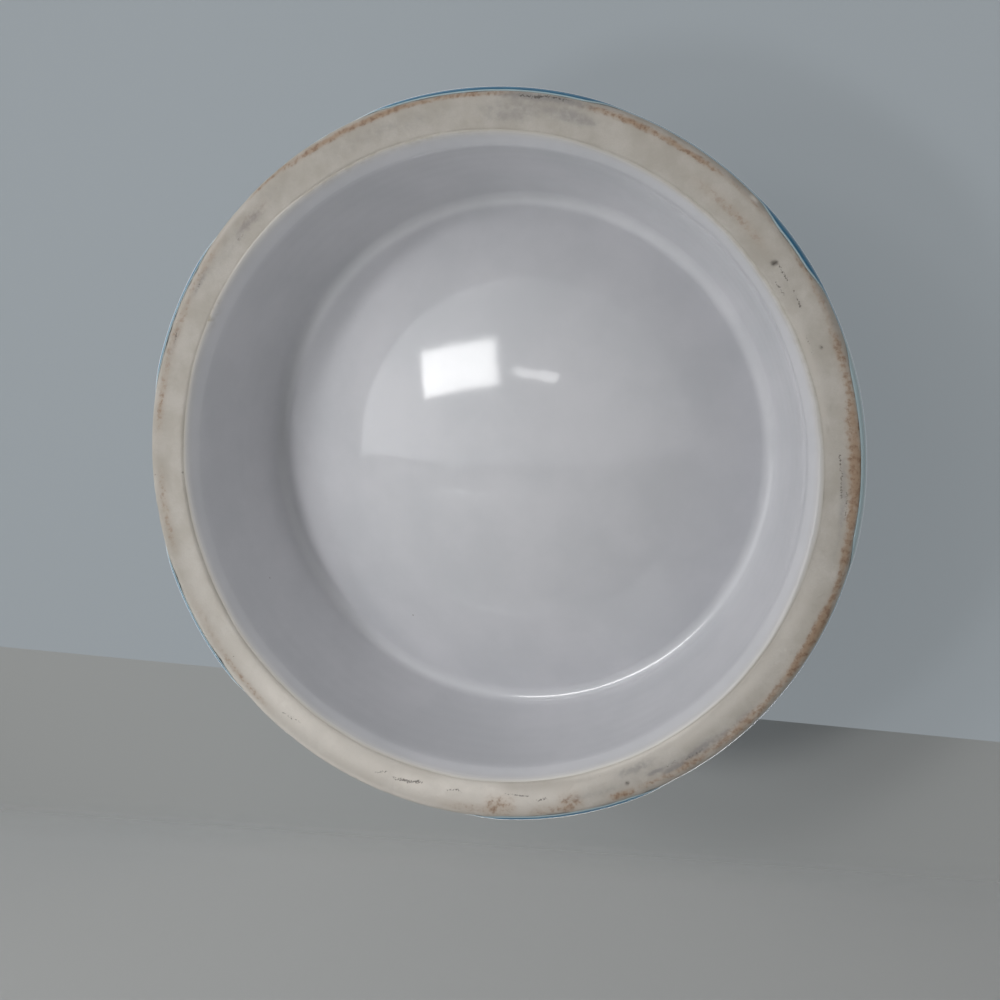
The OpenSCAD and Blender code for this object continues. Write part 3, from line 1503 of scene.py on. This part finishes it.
@dataclass(frozen=True)
class RecessGlaze(Coat):
    """White coat of the recess under the bowl, which stops at the inner edge of the foot.

    Attributes:
        bead: Height of the bead along the lower edge, where the glaze drew back.
        bead_reach: Distance of that bead from the edge.
        mark_size: Height of the faint marks of turning on the coved wall.
        mark_step: Distance between those marks.
        mark_start: Distance from the groove over which they set in.
        edge_reach: Distance over which the grid follows the lower edge's waves, and the marks end at the lip.
        calm: Distance from the lower edge over which the ripple sets in.
        thin_reach: Distance from the lower edge over which the coat looks thin.
        steps: Spacing of the stations on the dome, the groove, the coved wall and the lip.
        piece: The finished piece.
        grime: Zones of dirt along the lower edge.
    """

    bead: float = 0.03 * MM
    bead_reach: float = 1.0 * MM
    mark_size: float = 0.015 * MM
    mark_step: float = 4.2 * MM
    mark_start: float = 4 * MM
    edge_reach: float = 5 * MM
    calm: float = 3 * MM
    thin_reach: float = 0.8 * MM
    steps: Lengths = (1.1 * MM, 0.33 * MM, 1.1 * MM, 0.2 * MM)
    piece: Piece = Piece("white_recess", ClayNode.RECESS, Slot.WHITE_GLAZE)
    grime: tuple[Patch, ...] = (
        Patch(29.5, 3, 71, 2, 0.9),
        Patch(72, 20, 71, 2, 0.3),
        Patch(150, 25, 71, 2, 0.25),
    )

    def build(self, finish: bpy.types.Material) -> bpy.types.Object:
        """Builds the coat from the axis to its wavy edge, with ripple, turning marks and a bead.

        Args:
            finish: The white glaze.

        Returns:
            The new object.
        """
        path = self.section.clay()
        stations = path.stations(Run.DOME, *self.steps)
        stations = np.insert(stations, -1, stations[-1] - self.crisp)
        angle = Turned.angles(self.angles)
        corner = stations[-1]
        wall_start, wall_end = path.knots[[Run.COVE, Run.LIP]]
        by_edge = smooth_step(corner - self.edge_reach, corner, stations)
        distance = stations + self.lines.inner(angle) * by_edge
        from_edge = np.broadcast_to(corner - stations, distance.shape)
        on_wall = smooth_step(wall_start, wall_start + self.mark_start, stations)
        on_wall = on_wall * (1 - smooth_step(wall_end - self.edge_reach, wall_end, stations))
        lift = self.thickness(from_edge) + self.bead * np.exp(-((from_edge / self.bead_reach - 1) ** 2))
        lift += self.uneven(path, distance, angle) * smooth_step(0, self.calm, from_edge)
        lift += self.mark_size * on_wall * np.cos(2 * math.pi * stations / self.mark_step + np.sin(2 * angle))
        skin, face = self.shell(path, distance, lift, Closing.ON_AXIS)
        near_edge = np.exp(-from_edge / self.thin_reach)
        dirty = near_edge * spread(self.grime, angle, path.at(distance)[0])
        fields = self.spread_over(skin, face, {"thin": near_edge, "grime": dirty})
        return self.piece.place(skin.mesh(self.piece.name, fields), finish)


@dataclass(frozen=True)
class BasinGlaze(Coat):
    """White coat of the food basin, from the crest of the rim inwards.

    Attributes:
        calm: Distance from the crest over which the ripple sets in.
        thin: How thin the coat looks at the crest, from 0 to 1.
        thin_span: Distances from the crest between which that ends.
        steps: Spacing of the stations on the inner rim, the basin wall, the turn and the floor.
        piece: The finished piece.
    """

    angles: int = 512
    ripple: Ripple = Ripple(0.03 * MM, 26 * MM, seed=5)
    calm: float = 6 * MM
    thin: float = 0.7
    thin_span: Pair = (0.5 * MM, 4 * MM)
    steps: Lengths = (0.4 * MM, 1.0 * MM, 0.6 * MM, 1.2 * MM)
    piece: Piece = Piece("white_basin", ClayNode.BASIN, Slot.WHITE_GLAZE)

    def build(self, finish: bpy.types.Material) -> bpy.types.Object:
        """Builds the coat from its wavy line on the rim to the axis, with ripple, thin over the rim.

        Args:
            finish: The white glaze.

        Returns:
            The new object.
        """
        path = self.section.clay()
        stations = path.stations(Run.RIM_IN, *self.steps)
        angle = Turned.angles(self.angles)
        from_crest = np.broadcast_to(stations - stations[0], (self.angles, len(stations)))
        distance = stations + self.lines.rim(angle) * (1 - smooth_step(0, self.rim_reach, from_crest))
        uneven = self.uneven(path, distance, angle) * smooth_step(0, self.calm, from_crest)
        lift = self.section.glaze_t + uneven
        skin, face = self.shell(path, distance, lift, Closing.ON_AXIS)
        thin = self.thin * (1 - smooth_step(*self.thin_span, from_crest))
        fields = self.spread_over(skin, face, {"thin": thin, "grime": np.zeros(thin.shape)})
        return self.piece.place(skin.mesh(self.piece.name, fields), finish)


@dataclass(frozen=True)
class OutsideGlaze(Coat):
    """Blue coat of the outer wall, from the wiped foot to the crest of the rim.

    Attributes:
        pale_line: Width of the pale line along the lower edge, where the coat is thin.
        reflection_width: Width of painted reflection added to that line on the low_reflection_arcs.
        pale_span: Shares of that width between which the pale line ends.
        start_reach: Distance from the lower edge over which the grid follows that edge.
        calm_foot: Distances from the lower edge between which the ripple sets in.
        calm_rim: Distances from the crest of the rim between which it sets in.
        thin: How thin the coat looks at the crest, from 0 to 1.
        thin_span: Distances from the crest between which that ends.
        steps: Spacing of the stations on the foot edge, the outer wall and the outer rim.
        piece: The finished piece.
    """

    ripple: Ripple = Ripple(0.05 * MM, 24 * MM, seed=7)
    pale_line: float = 0.3 * MM
    reflection_width: float = 1.2 * MM
    pale_span: Pair = (0.5, 1.3)
    start_reach: float = 9 * MM
    calm_foot: Pair = (2 * MM, 8 * MM)
    calm_rim: Pair = (4 * MM, 9 * MM)
    thin: float = 0.75
    thin_span: Pair = (0.5 * MM, 5 * MM)
    steps: Lengths = (0.16 * MM, 0.9 * MM, 0.4 * MM)
    piece: Piece = Piece("blue_outside", ClayNode.OUTSIDE, Slot.BLUE_GLAZE)

    def build(self, finish: bpy.types.Material) -> bpy.types.Object:
        """Builds the coat as one loop: from its wavy start on the foot edge to the rim, and back on the clay.

        Args:
            finish: The blue glaze.

        Returns:
            The new object.
        """
        path = self.section.clay()
        stations = path.stations(Run.EDGE, *self.steps)
        stations = np.insert(stations, 1, stations[0] + self.crisp)
        angle = Turned.angles(self.angles)
        from_foot = np.broadcast_to(stations - stations[0], (self.angles, len(stations)))
        to_crest = np.broadcast_to(stations[-1] - stations, from_foot.shape)
        start = self.lines.outer(angle)
        distance = stations + start * (1 - smooth_step(0, self.start_reach, from_foot))
        distance = distance + self.lines.rim(angle) * (1 - smooth_step(0, self.rim_reach, to_crest))
        on_wall = smooth_step(*self.calm_foot, from_foot) * smooth_step(*self.calm_rim, to_crest)
        lift = self.thickness(from_foot) + on_wall * self.uneven(path, distance, angle)
        skin, face = self.shell(path, distance, lift, Closing.LOOP)
        # Where the pale line is widened on its arcs, it is a painted reflection of the pale wall, not thinner
        # glaze.
        pale = self.pale_line + self.reflection_width * self.lines.within(angle, self.lines.low_reflection_arcs)
        first, last = self.pale_span
        thin = 1 - smooth_step(first * pale, last * pale, from_foot)
        thin = np.maximum(thin, self.thin * (1 - smooth_step(*self.thin_span, to_crest)))
        fields = self.spread_over(skin, face, {"thin": thin})
        return self.piece.place(skin.mesh(self.piece.name, fields), finish)


@dataclass(frozen=True)
class ClayBody:
    """Fired clay of the whole bowl, of which only the worn foot ring is bare.

    Attributes:
        section: Half section of the bowl.
        wear: Marks on the foot ring.
        angles: Number of steps round the axis.
        worn: Depth to which the whole foot is worn, so that the coats stand a little proud of it.
        worn_reach: Distance from the inner edge of the foot over which that depth is reached.
        bare_h: Heights between which the bare clay ends.
        bare_r: Radii between which it starts.
        pit_shade: Painted shade of a pit for each millimetre of its depth, up to 1.
        ripple: Unevenness of the worn foot.
        grain: Finer unevenness of the worn foot.
        steps: Spacing of the stations in each run, close where the clay is bare and wide under the coats.
        piece: The finished piece.
    """

    section: Section
    wear: FootWear
    angles: int = 1180
    worn: float = 0.05 * MM
    worn_reach: float = 1.5 * MM
    bare_h: Pair = (0.8 * MM, 2.5 * MM)
    bare_r: Pair = (60 * MM, 68 * MM)
    pit_shade: float = 3
    ripple: Ripple = Ripple(0.06 * MM, 9 * MM, seed=13)
    grain: Ripple = Ripple(0.03 * MM, 2.2 * MM, seed=19, waves=24)
    steps: Lengths = (20 * MM, 2 * MM, 15 * MM, 0.4 * MM, 0.2 * MM, 0.2 * MM, 28 * MM,
                      2.5 * MM, 2.5 * MM, 18 * MM, 4 * MM, 18 * MM)
    piece: Piece = Piece("fired_clay", ClayNode.CLAY, Slot.BARE_CLAY)

    def build(self, finish: bpy.types.Material) -> bpy.types.Object:
        """Builds the clay: the outline, worn away at the foot by ripple, grain and pits along the normal.

        Args:
            finish: The bare clay.

        Returns:
            The new object.
        """
        path = self.section.clay()
        stations = path.stations(Run.DOME, *self.steps)
        angle = Turned.angles(self.angles)
        radius, height = (np.broadcast_to(line, (self.angles, len(stations))) for line in path.at(stations))
        out_r, out_z = path.normal_at(stations)
        bare = (1 - smooth_step(*self.bare_h, height)) * smooth_step(*self.bare_r, radius)
        x, y = radius * np.cos(angle), radius * np.sin(angle)
        uneven = self.ripple.height(x, y, height) + self.grain.height(x, y, height)
        pits = sum(pit.level(angle, radius) for pit in self.wear.pits)
        from_lip = radius - self.section.foot_in
        worn = smooth_step(0, self.worn_reach, from_lip) * (self.worn + np.maximum(uneven, 0))
        cut = bare * (worn + pits * MM)
        turned = Turned(radius - out_r * cut, height - out_z * cut, Closing.ON_AXIS)
        kinds = ("brown", "soot", "slip", "scratches")
        fields = {kind: bare * spread(getattr(self.wear, kind), angle, radius) for kind in kinds}
        # The pits' field grows with each pit's depth, giving painted shade over the dirt in it.
        fields["pits"] = bare * np.minimum(1, self.pit_shade * pits)
        return self.piece.place(turned.mesh(self.piece.name, fields), finish)


@dataclass(frozen=True)
class PhotoCamera:
    """Camera at the photograph's viewing angle, below the bowl and looking up into its recess.

    Attributes:
        position: Place of the lens.
        aim: Point of the foot plane at the middle of the picture.
        roll: Turn of the picture about the line of sight.
        lens: Focal length on the sensor.
        sensor: Width of the sensor.
        near: Distance of the nearest thing that it sees.
        far: Distance of the farthest.
    """

    position: Vector = Vector((-64.65, 26.29, -250.0)) * MM
    aim: Vector = Vector((-3.91, -6.93, 0.0)) * MM
    roll: float = math.radians(1.63)
    lens: float = 43.2
    sensor: float = 36.0
    near: float = 10 * MM
    far: float = 20.0

    def build(self) -> bpy.types.Object:
        """Adds the camera and makes it the scene's.

        Returns:
            The camera object.
        """
        data = bpy.data.cameras.new("photo_camera")
        data.lens, data.sensor_width, data.sensor_fit = self.lens, self.sensor, "HORIZONTAL"
        data.clip_start, data.clip_end = self.near, self.far
        ahead = (self.aim - self.position).normalized()
        level_up = (Vector((0, 1, 0)) - ahead * ahead.y).normalized()
        up = level_up * math.cos(self.roll) + ahead.cross(level_up) * math.sin(self.roll)
        turn = Matrix((ahead.cross(up), up, -ahead)).transposed()
        camera = bpy.data.objects.new("photo_camera", data)
        camera.matrix_world = Matrix.Translation(self.position) @ turn.to_4x4()
        bpy.context.scene.collection.objects.link(camera)
        bpy.context.scene.camera = camera
        return camera


class Shows(Enum):
    """What a lamp does: it lights surfaces, or is only mirrored in glossy ones."""

    LIT = "lit"
    MIRRORED = "mirrored"


@dataclass(frozen=True)
class Softbox:
    """A rectangular studio lamp that faces the bowl.

    Attributes:
        name: Name of the lamp.
        shows: What it does.
        left: Angle to the side, towards +X, of the direction it shines from.
        above: Angle towards +Y of that direction.
        width: Width in degrees as seen from the bowl.
        tall: Height in degrees as seen from the bowl.
        radiance: Brightness of its face, where 1 is white.
        distance: Distance from the bowl.
        roll: Turn about its own line, in degrees.
        over_rim: Whether it stands over the rim, and not below the foot plane.
    """

    name: str
    shows: Shows
    left: float
    above: float
    width: float
    tall: float
    radiance: float
    distance: float = 0.9
    roll: float = 0.0
    over_rim: bool = False

    def build(self) -> bpy.types.Object:
        """Adds the lamp, with the power that gives its face that brightness: pi times area times radiance.

        Returns:
            The lamp object.
        """
        side = 1 if self.over_rim else -1
        towards = Vector((math.tan(math.radians(self.left)), math.tan(math.radians(self.above)), side))
        towards.normalize()
        data = bpy.data.lights.new(self.name, "AREA")
        data.shape = "RECTANGLE"
        data.size = 2 * self.distance * math.tan(math.radians(self.width / 2))
        data.size_y = 2 * self.distance * math.tan(math.radians(self.tall / 2))
        data.energy = math.pi * data.size * data.size_y * self.radiance
        lamp = bpy.data.objects.new(self.name, data)
        across = Vector((0, 1, 0)).cross(towards).normalized()
        turn = Matrix((across, towards.cross(across), towards)).transposed()
        place = Matrix.Translation(towards * self.distance) @ turn.to_4x4()
        lamp.matrix_world = place @ Matrix.Rotation(math.radians(self.roll), 4, "Z")
        lamp.visible_camera = False
        lamp.visible_glossy = self.shows is Shows.MIRRORED
        lamp.visible_diffuse = self.shows is Shows.LIT
        bpy.context.scene.collection.objects.link(lamp)
        return lamp


@dataclass(frozen=True)
class Stage:
    """Plain pale surroundings: a floor for the upright bowl, and a floor and a wall behind the tipped view.

    Attributes:
        floor_tone: Colour of both floors.
        far_tone: Colour of the floor's far part, which faces the lamps more and so is painted darker.
        wall_tone: Colour of the wall.
        wall_glow: Light that the wall gives of itself, for a room that is lit from all round.
        room_up: Upward direction of the tipped view.
        room_near: Direction out of the wall towards the camera.
        rest: Lowest point of the bowl in the tipped view.
        wall_gap: Distance of the wall from the origin, against its direction.
        reach: Half the size of the floors and the wall.
        hole: Radius of the opening under the bowl, so that light reaches the recess.
        rings: Radii at which the faces of the upright floor divide.
        sides: Number of its steps round the axis.
        sunk: Depth of the upright floor under the foot; the tipped floor's back edge is twice as deep.
        fade: Width of the strip along that edge over which the tipped floor turns clear.
        ambient: Strength of the even light from all round.
        from_left: Strength added by the light from the left of the picture, towards +X.
        from_right: Strength added by the light from its right.
        backdrop: Colour of the far surroundings.
        matt: Roughness of the paint.
        shine_left: Strength that glossy surfaces see added to the backdrop at the left of the picture.
    """

    floor_tone: Colour = display(188, 190, 189)
    far_tone: Colour = display(166, 168, 167)
    wall_tone: Colour = display(106, 112, 117)
    wall_glow: Colour = display(119, 124, 127)
    room_up: Vector = Vector((0.0, 0.9983, -0.0586))
    room_near: Vector = Vector((0.1418, -0.058, -0.9882))
    rest: Vector = Vector((0.0, -80.0, 2.0)) * MM
    wall_gap: float = 74 * MM
    reach: float = 1.6
    hole: float = 76 * MM
    rings: Lengths = (0.09, 0.15, 0.4)
    sides: int = 256
    sunk: float = 0.05 * MM
    fade: float = 25 * MM
    ambient: float = 0.1
    from_left: float = 0.6
    from_right: float = 0.38
    backdrop: Colour = display(214, 217, 219)
    matt: float = 0.9
    shine_left: float = 2.0

    def paint(self, name: str, tone: Colour, glow: Colour = NO_GLOW, fade: float = 0.0) -> bpy.types.Material:
        """One-sided matt paint, clear from behind.

        Args:
            name: Name of the material.
            tone: Its colour.
            glow: Light that it gives of itself.
            fade: Depth below the foot over which it turns clear on the way up, if any.

        Returns:
            The material.
        """
        material = bpy.data.materials.new(name)
        material.use_nodes = True
        canvas = Canvas(material.node_tree)
        shader = material.node_tree.nodes["Principled BSDF"]
        canvas.feed(shader.inputs["Base Color"], tone)
        canvas.feed(shader.inputs["Roughness"], self.matt)
        canvas.feed(shader.inputs["Emission Color"], glow)
        canvas.feed(shader.inputs["Emission Strength"], 1.0)
        clear = canvas.add("ShaderNodeBsdfTransparent")
        hidden = canvas.add("ShaderNodeNewGeometry").outputs["Backfacing"]
        if fade:
            place = canvas.add("ShaderNodeSeparateXYZ")
            canvas.feed(place.inputs[0], canvas.position())
            hidden = canvas.calc("MAXIMUM", hidden, canvas.rise(place.outputs["Z"], -fade, 0.0))
        canvas.show(hidden, shader.outputs[0], clear.outputs[0])
        return material

    def sheet(self, name: str, corners: list[Vector], material: bpy.types.Material) -> bpy.types.Object:
        """Adds one flat sheet of the surroundings.

        Args:
            name: Name of the sheet.
            corners: Its corners, anticlockwise as seen from its front.
            material: Its paint.

        Returns:
            The new object.
        """
        mesh = bpy.data.meshes.new(name)
        mesh.from_pydata(corners, [], [tuple(range(len(corners)))])
        mesh.materials.append(material)
        return self.keep(bpy.data.objects.new(name, mesh))

    @staticmethod
    def keep(sheet: bpy.types.Object) -> bpy.types.Object:
        """Links an object to the scene as part of the surroundings."""
        bpy.context.scene.collection.objects.link(sheet)
        return sheet

    def stand(self, material: bpy.types.Material) -> bpy.types.Object:
        """Floor under the upright bowl: a flat ring from the opening to its far edge, facing up.

        It takes the bowl's shadow and is clear from below. It neither shades nor tints the bowl.

        Args:
            material: Its paint.

        Returns:
            The new object.
        """
        angle = Turned.angles(self.sides)
        radius = np.array([[self.hole, *self.rings, self.reach]])
        x, y = (radius * np.cos(angle)).ravel(), (radius * np.sin(angle)).ravel()
        index = np.arange(x.size).reshape(len(angle), -1)
        turned = np.roll(index, -1, axis=0)
        quads = np.stack([index[:, :-1], index[:, 1:], turned[:, 1:], turned[:, :-1]], axis=-1).reshape(-1, 4)
        mesh = bpy.data.meshes.new("stand_floor")
        level = np.full(x.size, -self.sunk)
        mesh.from_pydata(np.stack([x, y, level], axis=-1).tolist(), [], quads.tolist())
        mesh.materials.append(material)
        floor = self.keep(bpy.data.objects.new("stand_floor", mesh))
        floor.visible_diffuse = False
        floor.visible_shadow = False
        return floor

    def build(self) -> None:
        """Adds the floors, the wall and the light from all round.

        The tipped floor ends under the bowl, so that it stays below the upright one. Behind the bowl, the
        part of the wall's plane below that floor is painted as floor.
        """
        floor_paint = self.paint("floor paint", self.floor_tone)
        far_paint = self.paint("far floor paint", self.far_tone)
        wall_paint = self.paint("wall paint", self.wall_tone, self.wall_glow)
        self.stand(floor_paint)
        across = Vector((self.reach, 0, 0))
        forward = self.room_up.cross(across).normalized()
        back = self.rest - forward * ((self.rest.z + 2 * self.sunk) / forward.z)
        front = back + forward * self.reach
        corners = [front - across, front + across, back + across, back - across]
        tipped_paint = self.paint("tipped floor paint", self.floor_tone, fade=self.fade)
        self.sheet("tipped_floor", self.facing(corners, self.room_up), tipped_paint)
        side = self.room_up.cross(self.room_near).normalized() * self.reach
        middle = -self.room_near.normalized() * self.wall_gap
        up = self.room_near.cross(side).normalized()
        seam = (self.rest - middle).dot(self.room_up) / up.dot(self.room_up)
        for name, low, high, paint in (("tipped_wall", seam, self.reach, wall_paint),
                                       ("far_floor", -self.reach, seam, far_paint)):
            corners = [middle - side + up * low, middle + side + up * low,
                       middle + side + up * high, middle - side + up * high]
            sheet = self.sheet(name, self.facing(corners, self.room_near), paint)
            sheet.visible_diffuse = False
            sheet.visible_glossy = False
            sheet.visible_shadow = False
        self.surround()

    @staticmethod
    def facing(corners: list[Vector], towards: Vector) -> list[Vector]:
        """Corners in the order that makes the sheet face a direction.

        Args:
            corners: Four corners in order round the sheet.
            towards: The direction.

        Returns:
            The corners, reversed if need be.
        """
        normal = (corners[1] - corners[0]).cross(corners[2] - corners[1])
        return corners if normal.dot(towards) > 0 else corners[::-1]

    def surround(self) -> None:
        """Light from all round, with a pale backdrop where the camera or a glossy surface sees it.

        Its strength is the even part, plus parts that grow with the direction's lean to +X and to -X.
        """
        world = bpy.data.worlds.new("studio")
        world.use_nodes = True
        bpy.context.scene.world = world
        canvas = Canvas(world.node_tree)
        light = world.node_tree.nodes["Background"]
        canvas.feed(light.inputs["Color"], (1.0, 1.0, 1.0))
        lean = canvas.add("ShaderNodeSeparateXYZ")
        canvas.feed(lean.inputs[0], canvas.add("ShaderNodeTexCoord").outputs["Generated"])
        left = canvas.times(lean.outputs["X"], self.from_left)
        right = canvas.times(lean.outputs["X"], -self.from_right)
        strength = canvas.plus(canvas.calc("MAXIMUM", left, right), self.ambient)
        canvas.feed(light.inputs["Strength"], strength)
        seen = canvas.add("ShaderNodeBackground")
        canvas.feed(seen.inputs["Color"], self.backdrop)
        path = canvas.add("ShaderNodeLightPath")
        shine = canvas.times(canvas.calc("MAXIMUM", lean.outputs["X"], 0.0), self.shine_left)
        shine = canvas.times(shine, path.outputs["Is Glossy Ray"])
        canvas.feed(seen.inputs["Strength"], canvas.plus(shine, 1.0))
        shown = canvas.calc("MAXIMUM", path.outputs["Is Camera Ray"], path.outputs["Is Glossy Ray"])
        shown = canvas.calc("MAXIMUM", shown, path.outputs["Is Transmission Ray"])
        canvas.show(shown, light.outputs[0], seen.outputs[0])


LAMPS = (
    Softbox("window_pane", Shows.MIRRORED, left=29, above=27, width=26, tall=15, radiance=11, roll=15),
    Softbox("side_pane", Shows.MIRRORED, left=1, above=23, width=15, tall=3, radiance=5, roll=-16),
    Softbox("roof_pane", Shows.MIRRORED, left=4, above=-27, width=24, tall=14, radiance=5, distance=1.2,
            over_rim=True),
    Softbox("window_light", Shows.LIT, left=29, above=27, width=26, tall=15, radiance=2.0, roll=15),
    Softbox("near_window", Shows.LIT, left=34, above=18, width=8, tall=8, radiance=13),
    Softbox("low_panel", Shows.LIT, left=29, above=-6, width=8, tall=8, radiance=44, distance=0.4),
    Softbox("left_panel", Shows.LIT, left=44, above=3, width=8, tall=8, radiance=11),
    Softbox("high_panel", Shows.LIT, left=10, above=60, width=30, tall=30, radiance=0.95),
    Softbox("right_panel", Shows.LIT, left=-60, above=5, width=30, tall=30, radiance=0.5),
    Softbox("overhead", Shows.LIT, left=18, above=-22, width=56, tall=56, radiance=1.6, distance=1.2,
            over_rim=True),
)


def main() -> None:
    """Builds the bowl, its surroundings, the lamps and the camera."""
    logging.basicConfig(level=logging.INFO, format="%(name)s: %(message)s")
    bpy.context.scene.view_settings.view_transform = "Standard"
    low, high = CAD_BOX
    section = Section(base_d=high.x - low.x, bowl_h=high.z - low.z)
    lines = GlazeLines()
    effects = Effects()
    white = WhiteGlaze().material(effects)
    PhotoCamera().build()
    ClayBody(section, FootWear()).build(BareClay().material(effects))
    OutsideGlaze(section, lines).build(BlueGlaze().material(effects))
    BasinGlaze(section, lines).build(white)
    RecessGlaze(section, lines).build(white)
    Stage().build()
    for lamp in LAMPS:
        lamp.build()


if __name__ == "__main__":
    main()
